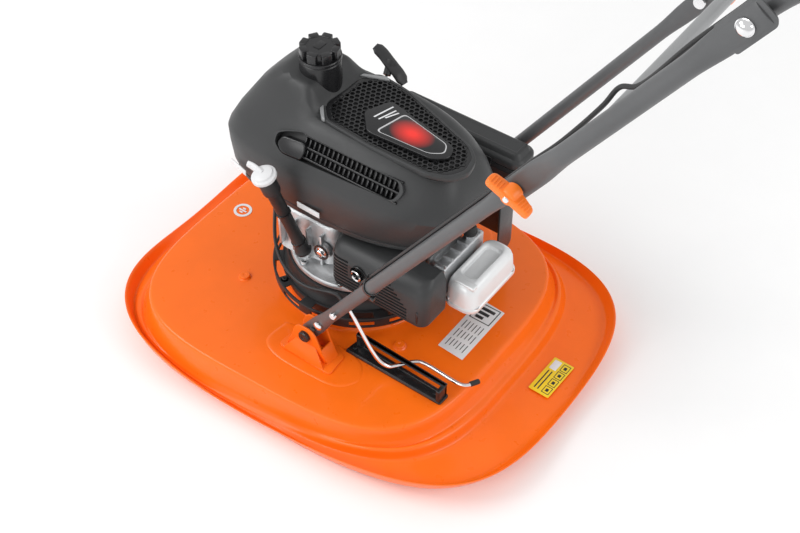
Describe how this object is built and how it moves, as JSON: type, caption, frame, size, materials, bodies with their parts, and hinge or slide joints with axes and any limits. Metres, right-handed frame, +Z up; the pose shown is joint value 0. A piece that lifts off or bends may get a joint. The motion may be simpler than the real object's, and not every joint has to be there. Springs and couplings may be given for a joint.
{
  "type": "hover mower",
  "caption": "Petrol hover mower: a shallow air-cushion hood carries a vertical-shaft engine, cutter rotor, and a tubular handle that tilts, folds and locks by wing knobs.",
  "frame": {"origin": "the ground directly under the crankshaft axis", "axes": "+Z up, +Y towards the operator's handle, +X towards the side with the muffler"},
  "size_m": [0.5874, 1.1761, 1.086],
  "materials": {
    "hood_orange": "glossy moulded plastic",
    "knob_orange": "satin moulded plastic",
    "cover_black": "fine textured moulded plastic",
    "black_plastic": "satin moulded plastic",
    "rubber_black": "matt rubber",
    "tube_grey": "satin powder coat",
    "cast_alloy": "as cast",
    "silver_paint": "silver paint",
    "zinc_steel": "zinc plated",
    "chrome_wire": "bright plated",
    "blade_steel": "black coated steel",
    "label_silver": "printed foil",
    "label_yellow": "printed film",
    "cap_grey": "satin moulded plastic"
  },
  "bodies": {
    "mower": {"hood_shell": "hood_orange", "rating_plate": "label_silver", "front_emblem": "label_silver", "warning_label": "label_yellow", "intake_ring": "black_plastic", "crankcase": "cast_alloy", "cylinder_block": "cast_alloy", "cylinder_head": "cast_alloy", "valve_cover": "silver_paint", "spark_plug": "zinc_steel", "plug_boot": "rubber_black", "fuel_tank": "black_plastic", "engine_cover": "cover_black", "recoil_grille": "black_plastic", "name_badge": "black_plastic", "side_louvre": "black_plastic", "air_cleaner_box": "black_plastic", "air_cleaner_cover": "cover_black", "carburettor": "cast_alloy", "rear_air_guide": "cover_black", "muffler": "zinc_steel", "muffler_guard": "cover_black", "dipstick_tube": "black_plastic", "pivot_bracket_left": "hood_orange", "pivot_bracket_right": "hood_orange", "pivot_pin_left": "black_plastic", "pivot_pin_right": "black_plastic", "rod_guide": "black_plastic", "cable_on_engine": "black_plastic"},
    "rotor": {"crankshaft": "zinc_steel", "flywheel": "cast_alloy", "impeller": "black_plastic", "blade_spacer": "black_plastic", "cutter_blade": "blade_steel", "blade_washer": "zinc_steel", "blade_bolt": "zinc_steel"},
    "fuel_cap": {"fuel_cap": "black_plastic"},
    "dipstick": {"dipstick": "cap_grey"},
    "starter_grip": {"starter_grip": "black_plastic", "starter_rope": "black_plastic"},
    "lower_handle": {"lower_arm_left": "tube_grey", "lower_arm_right": "tube_grey", "arm_rivet_left": "chrome_wire", "arm_rivet_right": "chrome_wire", "fold_bolt_left": "zinc_steel", "fold_bolt_right": "zinc_steel", "cable_on_arm": "black_plastic", "cable_tie": "black_plastic"},
    "stay_rod": {"stay_rod": "chrome_wire"},
    "wing_knob_left": {"wing_knob_left": "knob_orange"},
    "wing_knob_right": {"wing_knob_right": "knob_orange"},
    "upper_handle": {"middle_handle": "tube_grey", "upper_handle": "tube_grey", "splice_bolt_left": "chrome_wire", "splice_bolt_right": "chrome_wire", "hand_grip": "rubber_black", "bail_mount_left": "black_plastic", "bail_mount_right": "black_plastic", "cable_on_handle": "black_plastic"},
    "stop_bail": {"stop_bail": "blade_steel"}
  },
  "joints": [
    {"name": "handle_pivot", "type": "hinge", "parent": "mower", "child": "lower_handle", "pos_m": [0, 0.0337, 0.119], "axis": [1, 0, 0], "range_deg": [-16, 12], "deforming": ["cable_on_engine"]},
    {"name": "stay_rod_swing", "type": "hinge", "parent": "lower_handle", "child": "stay_rod", "pos_m": [0.17753, 0.09583, 0.2095], "axis": [1, 0, 0], "range_deg": [-21, 28]},
    {"name": "handle_fold", "type": "hinge", "parent": "lower_handle", "child": "upper_handle", "pos_m": [0, 0.4005, 0.6533], "axis": [1, 0, 0], "range_deg": [0, 120], "deforming": ["cable_on_handle"]},
    {"name": "stop_bail_squeeze", "type": "hinge", "parent": "upper_handle", "child": "stop_bail", "pos_m": [0, 0.744, 1.032], "axis": [1, 0, 0], "range_deg": [0, 10], "stiffness_Nm_per_rad": 0.8, "springref_deg": -22.92},
    {"name": "wing_knob_left_turn", "type": "hinge", "parent": "lower_handle", "child": "wing_knob_left", "pos_m": [0.242, 0.4005, 0.6533], "axis": [1, 0, 0], "continuous": true},
    {"name": "wing_knob_right_turn", "type": "hinge", "parent": "lower_handle", "child": "wing_knob_right", "pos_m": [-0.242, 0.4005, 0.6533], "axis": [-1, 0, 0], "continuous": true},
    {"name": "rotor_spin", "type": "hinge", "parent": "mower", "child": "rotor", "pos_m": [0, 0, 0.1], "axis": [0, 0, -1], "continuous": true},
    {"name": "fuel_cap_turn", "type": "hinge", "parent": "mower", "child": "fuel_cap", "pos_m": [-0.006, -0.07, 0.48], "axis": [0, 0, 1], "range_deg": [0, 120]},
    {"name": "dipstick_pull", "type": "slide", "parent": "mower", "child": "dipstick", "axis": [0.265, -0.1466, 0.953], "range_m": [0, 0.16]},
    {"name": "starter_pull", "type": "slide", "parent": "mower", "child": "starter_grip", "axis": [-0.7569, -0.163, 0.6329], "range_m": [0, 0.05], "stiffness_N_per_m": 60, "springref_m": -0.1}
  ],
  "couplings": [
    {"joint": "stay_rod_swing", "follows": "handle_pivot", "ratio": -1.7}
  ]
}
